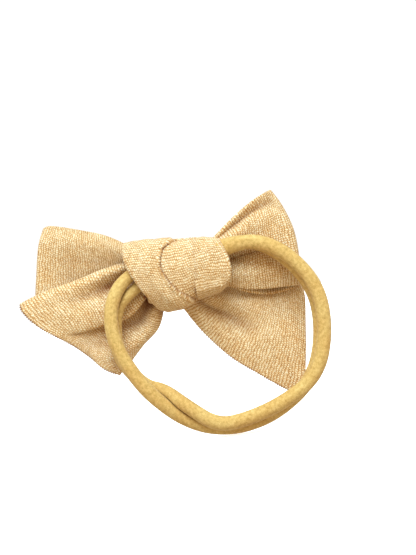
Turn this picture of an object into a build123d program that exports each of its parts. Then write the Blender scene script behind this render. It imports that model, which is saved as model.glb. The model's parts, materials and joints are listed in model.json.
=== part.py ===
"""Knitted hair bow tied round a doubled elastic band, as separate pieces.

Millimetres. X runs along the knot, Z is up, and the back of the bow, which lies on the head, faces -Y.
The origin is the middle of the knot's back face.
"""
from build123d import *
import math
import os

# Fabric strip: two layers of knit, turned right side out.
LAYER = 1.2                 # one turn of the strip, pressed in the knot
PLY = 2.2                   # the same strip where it lies loose, in a tail
LOOP_PLY = 1.8              # each ply of a loop
SKIN_GAP = 0.06             # between turns that lie on each other

# Knot: sections along X as (x, lowest z, highest z, nearest y, farthest y).
KNOT_SECTIONS = [
    (-23.0, -13.8, 15.0, 0.9, 18.7),
    (-6.0, -15.2, 15.0, 0.0, 19.5),
    (9.0, -12.9, 14.9, 0.0, 19.5),
    (25.0, -9.4, 11.6, 1.0, 18.6),
]
KNOT_CORNER = 6.2
KNOT_LEFT_BACK = [(-19.2, 17.0), (-19.4, 8.0), (-15.9, -1.0), (-12.5, -8.2), (-8.6, -17.0)]
KNOT_LEFT_FRONT = [(-20.0, 17.0), (-10.4, -17.0)]
KNOT_RIGHT = [(17.6, -17.0), (21.2, -9.4), (22.2, 0.0), (20.2, 11.0), (19.0, 17.0)]
OUTER_TURN_EDGE = [(-3.0, 17.0), (-4.7, 6.0), (-3.8, -0.8), (-0.3, -7.3), (4.2, -11.0), (7.8, -17.0)]
TUCKED_END = [(8.2, -6.5), (8.9, -10.9), (8.7, -17.0), (23.5, -17.0), (23.5, -6.5)]
KNOT_MID_Y = 9.7

# Waist of the strip inside the knot.
WAIST_NEAR_Y = 13.3
WAIST_FAR_Y = 16.4
WAIST_HALF_HEIGHT = 8.0
WAIST_PLEAT = 1.7
WAIST_LEFT = -13.6
WAIST_RIGHT = 20.0

# Elastic band.
STRAND_D = 5.6
SQUEEZED_D = 4.2
RIGHT_EXIT_A = (21.9, 5.0, 8.4)
RIGHT_EXIT_B = (21.9, 10.8, 8.0)
LEFT_EXIT_A = (-16.9, 6.9, -5.0)
LEFT_EXIT_B = (-18.1, 6.3, 0.5)
ROUTE_A = [
    RIGHT_EXIT_A, (35.0, 4.2, 8.8), (48.0, 3.5, 0.2), (57.0, 3.4, -14.0), (57.2, 3.4, -31.0),
    (51.5, 3.4, -48.5), (37.0, 3.4, -57.2), (22.0, 3.3, -61.4), (10.0, 3.6, -62.4), (-2.6, 6.2, -48.8),
    (-14.0, 9.2, -42.6), (-20.6, 9.3, -34.6), (-24.0, 9.3, -24.4), (-23.9, 8.6, -14.4), (-20.2, 7.4, -7.8),
    LEFT_EXIT_A,
]
ROUTE_B = [
    RIGHT_EXIT_B, (34.6, 9.7, 7.4), (47.2, 9.4, -1.2), (55.6, 9.4, -15.0), (55.8, 9.4, -31.0),
    (50.8, 9.4, -48.0), (39.0, 9.2, -58.6), (24.0, 9.2, -65.0), (9.0, 9.0, -65.6), (-3.6, 7.6, -60.4),
    (-14.4, 3.6, -48.6), (-21.8, 3.3, -37.2), (-27.0, 3.3, -25.0), (-27.4, 3.6, -12.6), (-23.6, 4.9, -3.8),
    LEFT_EXIT_B,
]
RADIUS_SHARE = 0.45         # of the shorter run beside a corner
JOIN_LENGTH = 3.0

# Folds: the lines where the strip turns over the front rim of the knot.
FOLD_Y = 17.4
LEFT_FOLD_TOP = (-20.6, 15.0)
LEFT_FOLD_BOTTOM = (-11.7, -13.4)
RIGHT_FOLD_X = 22.8

HOLLOW_START = 5.0          # the two plies lie together up to here

# Loops, in plan: distances from the fold line, and y of the near and far faces.
LEFT_LOOP = {"reach": 46.0, "near": (15.5, 15.8), "far": (17.2, 22.4)}
RIGHT_LOOP = {"reach": 34.0, "near": (14.5, 13.2), "far": (17.3, 20.2)}
LEFT_LOOP_OUTLINE = [
    (-22.0, 15.8), (-26.0, 19.0), (-38.0, 23.1), (-47.2, 26.0), (-49.8, 24.8), (-54.1, 8.8), (-58.0, -8.0),
    (-56.0, -11.5), (-38.0, -13.5), (-12.9, -13.5),
]
RIGHT_LOOP_OUTLINE = [
    (23.2, 14.5), (33.0, 22.4), (42.3, 27.6), (43.8, 25.6), (48.0, 17.1), (50.0, 4.3), (50.1, -2.6),
    (49.6, -12.2), (45.3, -13.6), (34.0, -13.7), (27.5, -11.5), (23.2, -9.8),
]

# Tails.
LEFT_TAIL_NEAR_Y = 12.9
RIGHT_TAIL_NEAR_Y = 17.0
LEFT_TAIL_OUTLINE = [
    (-18.4, 5.8), (-37.3, 1.6), (-45.7, 0.0), (-62.8, -4.1), (-60.7, -9.6), (-55.1, -15.7), (-44.5, -23.2),
    (-37.3, -29.5), (-30.9, -36.0), (-27.1, -37.4), (-20.2, -31.5), (-10.6, -22.4), (-12.2, -13.4),
]
RIGHT_TAIL_OUTLINE = [
    (3.2, -16.6), (21.5, -13.3), (27.0, -14.4), (34.0, -15.4), (51.6, -15.4), (51.4, -20.0), (49.3, -34.0),
    (46.8, -51.8), (44.9, -57.2), (37.7, -53.4), (31.6, -48.1), (22.3, -39.5), (15.3, -31.6), (5.0, -20.9),
]
THREAD_R = 0.5
THREAD_BEND = 6.0
LEFT_STITCHED_EDGE = [(-61.0, -11.0), (-55.6, -16.6), (-44.9, -24.0), (-31.6, -36.8)]
RIGHT_STITCHED_EDGE = [(6.4, -23.7), (14.7, -32.4), (21.7, -40.2), (37.0, -54.1), (43.5, -57.8)]


def plan_face(outline, plane):
    """Closed polygon in the given plane."""
    return plane * make_face(Polyline(*outline, close=True))


def slab(outline, y_near, y_far):
    """Outline in X and Z, as thick as y_near to y_far."""
    plane = Plane.XZ.offset(-y_far)
    return extrude(plan_face(outline, plane), amount=y_far - y_near)


def knot_section(section, inset):
    """Rounded section of the knot at one x, drawn in by inset."""
    x, z_low, z_high, y_near, y_far = section
    width = y_far - y_near - 2 * inset
    height = z_high - z_low - 2 * inset
    middle = (x, (y_near + y_far) / 2, (z_low + z_high) / 2)
    plane = Plane(origin=middle, x_dir=(0, 1, 0), z_dir=(1, 0, 0))
    return plane * RectangleRounded(width, height, KNOT_CORNER - inset)


def knot_core(inset):
    """Solid through the knot's sections, longer than the knot."""
    return loft([knot_section(section, inset) for section in KNOT_SECTIONS])


def knot_turn(inset, layer):
    """One turn of the strip: a tube open at both ends of the knot."""
    tube = knot_core(inset) - knot_core(inset + layer)
    back = slab(KNOT_LEFT_BACK + KNOT_RIGHT, -1.0, KNOT_MID_Y)
    front = slab(KNOT_LEFT_FRONT + KNOT_RIGHT, KNOT_MID_Y, 21.0)
    return tube & (back + front)


def build_knot_outer_turn():
    """Whole on the front and cut along its diagonal edge on the back."""
    back = slab([(-24.0, 17.0)] + OUTER_TURN_EDGE + [(-24.0, -17.0)], -1.0, KNOT_MID_Y)
    front = slab([(-24.0, 17.0), (26.0, 17.0), (26.0, -17.0), (-24.0, -17.0)], KNOT_MID_Y, 21.0)
    return knot_turn(0.0, LAYER) & (back + front)


def build_knot_inner_turn():
    return knot_turn(LAYER + SKIN_GAP, LAYER)


def build_knot_tucked_end():
    """Folded end of the strip, lying on the inner turn at the lower right."""
    return knot_turn(0.0, LAYER) & slab(TUCKED_END, -1.0, KNOT_MID_Y - 0.4)


def build_gathered_waist():
    """Bundle of pleats, as a zigzag section run along the knot."""
    pleats = 6
    step = 2 * WAIST_HALF_HEIGHT / pleats
    near = []
    far = []
    for i in range(pleats):
        z = -WAIST_HALF_HEIGHT + i * step
        near += [(WAIST_NEAR_Y + WAIST_PLEAT / 2, z), (WAIST_NEAR_Y, z + step / 2)]
        far += [(WAIST_FAR_Y - WAIST_PLEAT / 2, z), (WAIST_FAR_Y, z + step / 2)]
    near.append((WAIST_NEAR_Y + WAIST_PLEAT / 2, WAIST_HALF_HEIGHT))
    far.append((WAIST_FAR_Y - WAIST_PLEAT / 2, WAIST_HALF_HEIGHT))
    face = plan_face(near + far[::-1], Plane.YZ.offset(WAIST_LEFT))
    bundle = extrude(face, amount=WAIST_RIGHT - WAIST_LEFT)
    lean = [(-17.2, 9.0), (-11.0, -9.0), (8.0, -9.0), (20.6, -5.5), (20.6, 0.0), (18.6, 9.0)]
    return bundle & slab(lean, 12.0, 18.0)


def fold_plane(upper, lower):
    """Local x points away from the knot, local y is +Y, and the origin is on the fold line at y = 0."""
    middle = Vector((upper[0] + lower[0]) / 2, 0, (upper[1] + lower[1]) / 2)
    along = Vector(lower[0] - upper[0], 0, lower[1] - upper[1]).normalized()
    outward = Vector(along.Z, 0, -along.X)
    if outward.X * middle.X < 0:
        outward = outward * -1
    return Plane(origin=middle, x_dir=outward, z_dir=outward.cross(Vector(0, 1, 0)))


def lens(start, stop, near_ends, far_ends, near_middle, far_middle):
    """Plan shape between a near and a far arc."""
    middle = (start + stop) / 2
    near = ThreePointArc((start, near_ends[0]), (middle, near_middle), (stop, near_ends[1]))
    far = ThreePointArc((stop, far_ends[1]), (middle, far_middle), (start, far_ends[0]))
    sides = [Line(near @ 1, far @ 0)]
    if (far @ 1 - near @ 0).length > 0.01:
        sides.append(Line(far @ 1, near @ 0))
    return make_face([near, far] + sides)


def build_loop(outline, cavity_outline, plane, shape):
    """Strip doubled back: a lens in plan, hollow, and open at the top and the bottom."""
    reach = shape["reach"]
    near_root, near_middle = shape["near"]
    far_root, far_middle = shape["far"]
    tip = (near_middle + far_middle) / 2
    outer = lens(-2.0, reach, (near_root, tip - LOOP_PLY), (far_root, tip + LOOP_PLY), near_middle, far_middle)
    inner_near = near_middle + LOOP_PLY
    inner_far = far_middle - LOOP_PLY
    inner = lens(HOLLOW_START, reach, (tip - 0.3, tip - 0.3), (tip + 0.3, tip + 0.3), inner_near, inner_far)
    half = 45.0
    shell = extrude(plane * outer, amount=half, both=True) & slab(outline, 10.0, 26.0)
    hollow = extrude(plane * inner, amount=half, both=True) & slab(cavity_outline, 10.0, 26.0)
    return shell - hollow


def build_left_loop():
    cavity = [(-23.0, 30.0), (-46.5, 30.0), (-51.0, 8.4), (-55.0, -9.0), (-55.0, -20.0), (-16.0, -20.0)]
    return build_loop(LEFT_LOOP_OUTLINE, cavity, fold_plane(LEFT_FOLD_TOP, LEFT_FOLD_BOTTOM), LEFT_LOOP)


def build_right_loop():
    cavity = [(27.0, 30.0), (38.6, 30.0), (44.6, 17.1), (46.8, 4.3), (46.8, -20.0), (27.0, -20.0)]
    plane = fold_plane((RIGHT_FOLD_X, 15.0), (RIGHT_FOLD_X, -13.0))
    return build_loop(RIGHT_LOOP_OUTLINE, cavity, plane, RIGHT_LOOP)


def build_left_tail():
    return slab(LEFT_TAIL_OUTLINE, LEFT_TAIL_NEAR_Y, LEFT_TAIL_NEAR_Y + PLY)


def build_right_tail():
    return slab(RIGHT_TAIL_OUTLINE, RIGHT_TAIL_NEAR_Y, RIGHT_TAIL_NEAR_Y + PLY)


def build_stitching(edge, near_y):
    """Thread cord along a tail's edge, at the middle of its thickness."""
    y = near_y + PLY / 2
    path = FilletPolyline(*[(x, y, z) for x, z in edge], radius=THREAD_BEND)
    start = Plane(origin=path @ 0, z_dir=path % 0)
    return sweep(start * Circle(THREAD_R), path=path)


def bend_radii(points):
    """Radius at each corner: a fixed share of the shorter run, whatever the turn."""
    corners = [Vector(*point) for point in points]
    radii = []
    for before, here, after in zip(corners, corners[1:], corners[2:]):
        turn = math.radians((here - before).get_angle(after - here))
        shorter = min((here - before).length, (after - here).length)
        radii.append(RADIUS_SHARE * shorter / math.tan(turn / 2))
    return radii


def build_strand(name, points):
    """Tube of straight runs and tangent arcs."""
    radii = bend_radii(points)
    path = FilletPolyline(*points, radius=radii)
    start = Plane(origin=path @ 0, z_dir=path % 0)
    tube = sweep(start * Circle(STRAND_D / 2), path=path)
    expected = path.length * math.pi * STRAND_D ** 2 / 4
    print(name, "length", round(path.length, 1), "volume over section times length", round(tube.volume / expected, 4))
    print(name, "radii", [round(r, 1) for r in radii])
    return tube


def rod(start, stop):
    """Squeezed stretch of band between two points."""
    axis = Vector(*stop) - Vector(*start)
    return extrude(Plane(origin=start, z_dir=axis) * Circle(SQUEEZED_D / 2), amount=axis.length)


def between(start, stop, share):
    return tuple(a + (b - a) * share for a, b in zip(start, stop))


def build_band_in_knot_upper():
    return rod(between(RIGHT_EXIT_A, LEFT_EXIT_B, 0.06), between(RIGHT_EXIT_A, LEFT_EXIT_B, 0.86))


def lower_pass(first, last):
    return rod(between(RIGHT_EXIT_B, LEFT_EXIT_A, first), between(RIGHT_EXIT_B, LEFT_EXIT_A, last))


def build_band_in_knot_lower():
    """The ring's two ends, either side of the join."""
    length = (Vector(*RIGHT_EXIT_B) - Vector(*LEFT_EXIT_A)).length
    half_join = JOIN_LENGTH / 2 / length
    return lower_pass(0.045, 0.5 - half_join) + lower_pass(0.5 + half_join, 0.92)


def build_band_join_stitching():
    length = (Vector(*RIGHT_EXIT_B) - Vector(*LEFT_EXIT_A)).length
    half_join = (JOIN_LENGTH / 2 - 0.03) / length
    return lower_pass(0.5 - half_join, 0.5 + half_join)


def main():
    parts = {
        "knot_outer_turn": build_knot_outer_turn(),
        "knot_inner_turn": build_knot_inner_turn(),
        "knot_tucked_end": build_knot_tucked_end(),
        "gathered_waist": build_gathered_waist(),
        "left_loop": build_left_loop(),
        "right_loop": build_right_loop(),
        "left_tail": build_left_tail(),
        "right_tail": build_right_tail(),
        "left_tail_edge_stitching": build_stitching(LEFT_STITCHED_EDGE, LEFT_TAIL_NEAR_Y),
        "right_tail_edge_stitching": build_stitching(RIGHT_STITCHED_EDGE, RIGHT_TAIL_NEAR_Y),
        "band_strand_a": build_strand("band_strand_a", ROUTE_A),
        "band_strand_b": build_strand("band_strand_b", ROUTE_B),
        "band_in_knot_upper": build_band_in_knot_upper(),
        "band_in_knot_lower": build_band_in_knot_lower(),
        "band_join_stitching": build_band_join_stitching(),
    }
    os.makedirs("parts", exist_ok=True)
    for name, shape in parts.items():
        export_step(shape, f"parts/{name}.step")


if __name__ == "__main__":
    main()
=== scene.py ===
import json
import math
import bpy
import numpy as np
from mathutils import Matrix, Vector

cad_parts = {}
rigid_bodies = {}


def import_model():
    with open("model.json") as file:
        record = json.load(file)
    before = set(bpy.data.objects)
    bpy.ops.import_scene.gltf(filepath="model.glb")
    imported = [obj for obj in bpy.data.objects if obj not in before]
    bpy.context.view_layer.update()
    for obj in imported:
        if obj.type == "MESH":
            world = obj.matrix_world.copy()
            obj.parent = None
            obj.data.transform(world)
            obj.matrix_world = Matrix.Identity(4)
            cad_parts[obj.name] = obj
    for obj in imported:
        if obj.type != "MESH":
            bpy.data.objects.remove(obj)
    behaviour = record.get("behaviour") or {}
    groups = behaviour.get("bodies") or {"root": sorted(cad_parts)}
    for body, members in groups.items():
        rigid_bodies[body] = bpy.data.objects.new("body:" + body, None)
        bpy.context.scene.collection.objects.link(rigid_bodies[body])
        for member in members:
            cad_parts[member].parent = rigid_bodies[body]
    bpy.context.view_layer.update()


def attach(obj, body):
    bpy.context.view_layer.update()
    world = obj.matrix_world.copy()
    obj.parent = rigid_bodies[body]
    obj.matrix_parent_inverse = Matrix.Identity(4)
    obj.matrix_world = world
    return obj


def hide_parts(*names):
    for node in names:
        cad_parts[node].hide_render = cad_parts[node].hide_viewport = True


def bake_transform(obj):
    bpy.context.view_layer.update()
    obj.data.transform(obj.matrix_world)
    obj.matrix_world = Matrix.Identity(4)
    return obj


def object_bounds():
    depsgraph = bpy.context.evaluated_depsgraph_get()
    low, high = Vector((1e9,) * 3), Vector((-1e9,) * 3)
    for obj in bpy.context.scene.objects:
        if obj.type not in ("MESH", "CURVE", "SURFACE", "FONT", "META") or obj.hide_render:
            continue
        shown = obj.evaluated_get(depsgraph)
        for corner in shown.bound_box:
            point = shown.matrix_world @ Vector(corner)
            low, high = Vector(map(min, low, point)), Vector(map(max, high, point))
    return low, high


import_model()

# Knitted hair bow tied round a doubled elastic band.
#
# Lengths are in millimetres up to the moment a mesh is made, and MM turns them into metres.
# X runs along the knot, Z is up, and the back of the bow faces -Y.
MM = 0.001

# Camera: rolled about its line of sight, aimed at VIEW_CENTRE, with VIEW_HEIGHT in view from top to bottom.
ROLL = math.radians(8.0)
VIEW_CENTRE = (13.6, 5.0, -3.7)
VIEW_HEIGHT = 222.0
VIEW_DISTANCE = 900.0

# Cloth: thickness of the loops and tails, thickness of the turns round the knot, and flat width of the strip.
PLY = 1.7
TURN = 1.5
STRIP_WIDTH = 46.0
# Distance from wale to wale, and from stitch to stitch along one wale.
WALE = 1.0
COURSE = 0.88
# Colours of the knit, 0-255, from the gaps between stitches to their crests, each after its place on the ramp.
# The dark of the gaps is painted shade and the pale of the crests painted light, over the yarn's own uneven
# tone.
KNIT_YARN_AND_SHADE = [(0.23, (118, 74, 38)), (0.37, (201, 155, 100)), (0.5, (237, 204, 152)), (0.6, (255, 249, 220))]
# How many grid steps each way a point is compared with, to tell how deep it lies in a fold for the painted
# shade.
HOLLOW_REACH = 8
# How far out from its first edge, next to the knot, a piece still gets painted shade.
ROOT_REACH = 6.5
# Usual distance between the slight lumps of the loops and tails, and of the knot's turns.
CLOTH_LUMPS = 14.0
KNOT_LUMPS = 11.0

# Band: its thickness, how much and how far along the knot squeezes its ends, and how far off its skin
# another strand still paints shade on it.
STRAND_D = 5.8
SQUEEZE = 0.24
SQUEEZE_REACH = 11.0
TOUCH_GAP = 0.9

# Overlocked edges: distance between stitches, how wide one is, how far it stands past the edge and off the
# cloth, the points that draw it, and the thread's radius.
STITCH_PITCH = 1.0
STITCH_WIDTH = 1.1
STITCH_PAST_EDGE = 0.25
STITCH_OFF_CLOTH = 0.02
STITCH_POINTS = 14
THREAD_RADIUS = 0.15

# Light that comes from below, from level and from above, and a broad sun turned away from straight down.
WORLD_LOW = (0.58, 0.48, 0.35)
WORLD_LEVEL = (0.78, 0.66, 0.48)
WORLD_HIGH = (0.90, 1.0, 1.0)
WORLD_STRENGTH = 1.0
SUN_ENERGY = 2.9
SUN_COLOUR = (0.86, 1.02, 1.17)
SUN_TURN = (math.radians(42), math.radians(-3), 0.0)
SUN_SPREAD = math.radians(36)
# Floor, in metres: half its side, and the gap between it and the lowest point of the bow.
FLOOR_HALF = 6.0
FLOOR_GAP = 0.0004


# ---------------------------------------------------------------- curves and surfaces

def point(x, y, z):
    """A place in metres."""
    return (x * MM, y * MM, z * MM)


def smooth(points, samples):
    """Catmull-Rom curve through points, read at samples from 0 to 1."""
    points = np.asarray(points, float)
    last = len(points) - 1
    place = np.clip(np.asarray(samples, float), 0.0, 1.0) * last
    index = np.minimum(place.astype(int), last - 1)
    t = (place - index).reshape((-1,) + (1,) * (points.ndim - 1))
    padded = np.concatenate([2 * points[:1] - points[1:2], points, 2 * points[-1:] - points[-2:-1]])
    a, b, c, d = (padded[index + k] for k in range(4))
    curve = 2 * b + (c - a) * t
    curve = curve + (2 * a - 5 * b + 4 * c - d) * t ** 2
    curve = curve + (3 * b - a - 3 * c + d) * t ** 3
    return 0.5 * curve


def edge_spaced(count, near_edge):
    """Samples from 0 to 1, with a few more close to each end to round the rim."""
    rim = np.array([0.0, 0.1, 0.3, 0.6]) * near_edge
    middle = np.linspace(near_edge, 1.0 - near_edge, count)
    return np.concatenate([rim, middle, 1.0 - rim[::-1]])


def grid_normals(grid, wraps=False):
    """Unit normal at each point of a grid, whose columns join up when it wraps."""
    along = np.gradient(grid, axis=0)
    if wraps:
        across = (np.roll(grid, -1, axis=1) - np.roll(grid, 1, axis=1)) / 2
    else:
        across = np.gradient(grid, axis=1)
    normal = np.cross(along, across)
    return normal / np.maximum(np.linalg.norm(normal, axis=2, keepdims=True), 1e-9)


def line_length(points):
    """Distance along a line at each of its points."""
    step = np.linalg.norm(np.diff(points, axis=0), axis=1)
    return np.concatenate([[0.0], np.cumsum(step)])


def running_length(grid, axis):
    """Distance along a grid's rows or columns at each of its points."""
    step = np.linalg.norm(np.diff(grid, axis=axis), axis=2)
    total = np.cumsum(step, axis=axis)
    first = np.zeros_like(np.take(total, [0], axis=axis))
    return np.concatenate([first, total], axis=axis)


def rim_profile(distance, half):
    """Half thickness at a distance from a rounded rim."""
    inside = np.clip(distance / half, 0.0, 1.0)
    return half * np.sqrt(np.clip(1 - (1 - inside) ** 2, 0.0, 1.0))


def half_thickness(grid, half, wraps):
    """Half thickness of a sheet at each point, less where it rounds off towards a rim."""
    down = running_length(grid, 0)
    depth = rim_profile(np.minimum(down, down[-1:] - down), half)
    if wraps:
        return depth
    over = running_length(grid, 1)
    return np.minimum(depth, rim_profile(np.minimum(over, over[:, -1:] - over), half))


def make_mesh(name, vertices, faces, strip, period, painted_shade):
    """Mesh that carries two attributes for its material.

    strip says where on the strip each corner lies. Faces over a seam use the period, so the pattern runs on.
    The shade attribute says how much painted shade each vertex gets: more the deeper it lies in a fold, or the
    closer to another piece.
    """
    mesh = bpy.data.meshes.new(name)
    mesh.from_pydata([tuple(v) for v in np.asarray(vertices) * MM], [], faces)
    corner = np.asarray(strip, float)[[v for face in faces for v in face]]
    size = np.array([len(face) for face in faces])
    first = np.repeat(corner[np.cumsum(size) - size], size, axis=0)
    for axis, length in enumerate(period):
        if length:
            corner[:, axis] += np.round((first[:, axis] - corner[:, axis]) / length) * length
    layer = mesh.attributes.new("strip", "FLOAT_VECTOR", "CORNER")
    layer.data.foreach_set("vector", corner.astype(np.float32).ravel())
    depth = mesh.attributes.new("painted_shade", "FLOAT", "POINT")
    depth.data.foreach_set("value", painted_shade.astype(np.float32))
    mesh.polygons.foreach_set("use_smooth", [True] * len(mesh.polygons))
    mesh.update()
    piece = bpy.data.objects.new(name, mesh)
    bpy.context.scene.collection.objects.link(piece)
    return piece


def hollow_depth(grid, normal, reach, wraps):
    """How far each point lies under the average of its neighbours, along the normal."""
    average = grid
    for axis in (0, 1):
        spread = [(0, 0)] * 3
        spread[axis] = (reach, reach)
        padded = np.pad(average, spread, mode="wrap" if wraps and axis == 1 else "edge")
        count = grid.shape[axis]
        shifted = [np.take(padded, range(k, k + count), axis=axis) for k in range(2 * reach + 1)]
        average = sum(shifted) / len(shifted)
    return ((average - grid) * normal).sum(axis=2)


def rim_of(rows, cols, wraps):
    """True where the front and the back of a sheet share a point."""
    rim = np.zeros((rows, cols), bool)
    rim[0] = rim[-1] = True
    if not wraps:
        rim[:, 0] = rim[:, -1] = True
    return rim


def sheet_faces(front, back, wraps):
    """Faces of both sides of a sheet, from the numbers of the points on its front and on its back."""
    rows, cols = front.shape
    faces = []
    for r in range(rows - 1):
        for c in range(cols if wraps else cols - 1):
            d = (c + 1) % cols
            faces.append((front[r, c], front[r + 1, c], front[r + 1, d], front[r, d]))
            faces.append((back[r, c], back[r, d], back[r + 1, d], back[r + 1, c]))
    return [tuple(int(i) for i in face) for face in faces]


def thick_sheet(name, grid, strip, thickness, wraps=False, period=(0.0, 0.0), painted_contact_shade=0.0):
    """Closed sheet round a grid of points. Its rims are rounded, and wraps joins the two sides of the grid.

    The last argument adds painted shade where the cloth disappears under another turn, or lies next to the
    knot.
    """
    normal = grid_normals(grid, wraps)
    offset = normal * half_thickness(grid, thickness / 2, wraps)[..., None]
    rim = rim_of(*grid.shape[:2], wraps)
    number = np.arange(rim.size).reshape(rim.shape)
    back_number = number.copy()
    back_number[~rim] = rim.size + np.arange((~rim).sum())
    vertices = np.concatenate([(grid + offset).reshape(-1, 3), (grid - offset)[~rim]])
    strips = np.concatenate([strip.reshape(-1, 3), strip[~rim]])
    # Painted shade in the folds: the deeper a point lies under its neighbours, the darker it is painted.
    painted_shade = hollow_depth(grid, normal, HOLLOW_REACH, wraps)
    painted_contact_shade = np.broadcast_to(painted_contact_shade, painted_shade.shape)
    painted_shades = np.concatenate([(painted_contact_shade + painted_shade).ravel(), (painted_contact_shade - painted_shade)[~rim]])
    faces = sheet_faces(number, back_number, wraps)
    return make_mesh(name, vertices, faces, strips, period, np.clip(painted_shades, 0.0, 1.0))


def lumps(grid, size, seed):
    """Smooth uneven field from a few waves, about -1 to 1."""
    rng = np.random.default_rng(seed)
    waves = 7
    total = np.zeros(grid.shape[:2])
    for _ in range(waves):
        direction = rng.normal(size=3)
        direction /= np.linalg.norm(direction)
        pitch = size * rng.uniform(0.7, 1.6)
        total += np.sin(grid @ direction * (2 * math.pi / pitch) + rng.uniform(0, 2 * math.pi))
    return total / (waves / 2)


def strip_coordinates(grid, width):
    """Along the strip and across it, as the knit lies, whatever the pleats do."""
    rows, cols = grid.shape[:2]
    along = running_length(grid, 0).mean(axis=1)
    across = running_length(grid, 1)
    share = (across / np.maximum(across[:, -1:], 1e-6)).mean(axis=0)
    out = np.zeros((rows, cols, 3))
    out[..., 0] = along[:, None]
    out[..., 1] = share[None, :] * width
    return out


def strip_piece(name, stations, along, across, relief, seed, thickness=PLY, root=0.0):
    """Sheet through stations, which start at the knot. Each lists points from one edge to the other.

    along and across are the numbers of rows and columns. relief is the height of its slight unevenness, and
    root paints shade on its first few millimetres, next to the knot. Returns the piece and the grid of points
    it was made round.
    """
    rows = smooth(np.asarray(stations, float), edge_spaced(along, 0.012))
    grid = np.swapaxes(smooth(np.swapaxes(rows, 0, 1), edge_spaced(across, 0.02)), 0, 1)
    grid = grid + grid_normals(grid) * (lumps(grid, CLOTH_LUMPS, seed) * relief)[..., None]
    strip = strip_coordinates(grid, STRIP_WIDTH)
    # Painted shade next to the knot, fading over ROOT_REACH.
    painted_contact_shade = root * np.exp(-((strip[..., 0] / ROOT_REACH) ** 2))
    return thick_sheet(name, grid, strip, thickness, painted_contact_shade=painted_contact_shade), grid


# ---------------------------------------------------------------- node materials

class Nodes:
    """Short names for building a node tree."""

    def __init__(self, name):
        self.material = bpy.data.materials.new(name)
        self.material.use_nodes = True
        self.tree = self.material.node_tree
        self.shader = self.tree.nodes["Principled BSDF"]

    def link(self, source, target):
        self.tree.links.new(source, target)

    def new(self, kind, **values):
        node = self.tree.nodes.new(kind)
        for key, value in values.items():
            setattr(node, key, value)
        return node

    def math(self, operation, a, b=None, c=None):
        node = self.new("ShaderNodeMath", operation=operation)
        for socket, value in zip(node.inputs, (a, b, c)):
            if value is None:
                continue
            if isinstance(value, (int, float)):
                socket.default_value = value
            else:
                self.link(value, socket)
        return node.outputs[0]

    def noise(self, vector, scale, detail=2.0, roughness=0.5):
        node = self.new("ShaderNodeTexNoise")
        node.inputs["Scale"].default_value = scale
        node.inputs["Detail"].default_value = detail
        node.inputs["Roughness"].default_value = roughness
        self.link(vector, node.inputs["Vector"])
        return node.outputs["Fac"]

    def separate(self, vector):
        node = self.new("ShaderNodeSeparateXYZ")
        self.link(vector, node.inputs[0])
        return node.outputs

    # Attribute that says how much painted shade each point gets.
    def painted_shade(self):
        return self.new("ShaderNodeAttribute", attribute_name="painted_shade").outputs["Fac"]

    def ramp(self, factor, stops):
        node = self.new("ShaderNodeValToRGB")
        ramp = node.color_ramp
        while len(ramp.elements) < len(stops):
            ramp.elements.new(0.5)
        for element, (place, colour) in zip(ramp.elements, stops):
            element.position = place
            element.color = (*linear(colour), 1.0)
        self.link(factor, node.inputs["Fac"])
        return node.outputs["Color"]

    def mix(self, factor, a, b, blend="MIX"):
        node = self.new("ShaderNodeMix", data_type="RGBA", blend_type=blend)
        for socket, value in ((node.inputs[0], factor), (node.inputs[6], a), (node.inputs[7], b)):
            if isinstance(value, (int, float)):
                socket.default_value = value
            elif isinstance(value, tuple):
                socket.default_value = (*linear(value), 1.0)
            else:
                self.link(value, socket)
        return node.outputs[2]

    def bump(self, height, strength, distance):
        node = self.new("ShaderNodeBump")
        node.inputs["Strength"].default_value = strength
        node.inputs["Distance"].default_value = distance
        self.link(height, node.inputs["Height"])
        self.link(node.outputs["Normal"], self.shader.inputs["Normal"])


def linear(colour):
    """0-255 colour as the shader wants it."""
    shares = [c / 255 for c in colour]
    return tuple(s / 12.92 if s <= 0.04045 else ((s + 0.055) / 1.055) ** 2.4 for s in shares)


def pattern_vector(nodes, source):
    """Millimetres along and across the strip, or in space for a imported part."""
    if source == "strip":
        return nodes.new("ShaderNodeAttribute", attribute_name="strip").outputs["Vector"]
    scale = nodes.new("ShaderNodeVectorMath", operation="SCALE")
    nodes.link(nodes.new("ShaderNodeTexCoord").outputs["Object"], scale.inputs[0])
    scale.inputs["Scale"].default_value = 1 / MM
    return scale.outputs[0]


def knit_stitches(n, vector):
    """Height of the knit's loops, which stand in wavering wales across the strip.

    Also returns a random value for each loop.
    """
    place = n.separate(vector)
    drift = n.noise(vector, 0.35, 2.0)
    waver = n.noise(vector, 1.1, 1.0)
    along = n.math("ADD", n.math("DIVIDE", place[0], WALE), n.math("MULTIPLY", drift, 1.6))
    along = n.math("ADD", along, n.math("MULTIPLY", waver, 0.5))
    cell = n.math("SUBTRACT", n.math("FRACT", along), 0.5)
    across = n.math("ADD", n.math("DIVIDE", place[1], COURSE), n.math("MULTIPLY", waver, 0.7))
    across = n.math("ADD", across, n.math("MULTIPLY", n.math("ABSOLUTE", cell), 0.9))
    across = n.math("ADD", across, n.math("MULTIPLY", n.math("FLOOR", along), 0.37))
    wale = n.math("COSINE", n.math("MULTIPLY", cell, math.pi))
    stitch = n.math("MULTIPLY_ADD", n.math("SINE", n.math("MULTIPLY", across, 2 * math.pi)), 0.5, 0.5)
    which = n.new("ShaderNodeCombineXYZ")
    n.link(n.math("FLOOR", along), which.inputs[0])
    n.link(n.math("FLOOR", n.math("ADD", across, 0.25)), which.inputs[1])
    chance = n.new("ShaderNodeTexWhiteNoise", noise_dimensions="2D")
    n.link(which.outputs[0], chance.inputs["Vector"])
    wale_height = n.math("MULTIPLY_ADD", wale, 0.72, 0.28)
    stitch_height = n.math("MULTIPLY_ADD", stitch, 0.55, 0.45)
    return n.math("MULTIPLY", wale_height, stitch_height), chance.outputs["Value"]


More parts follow.
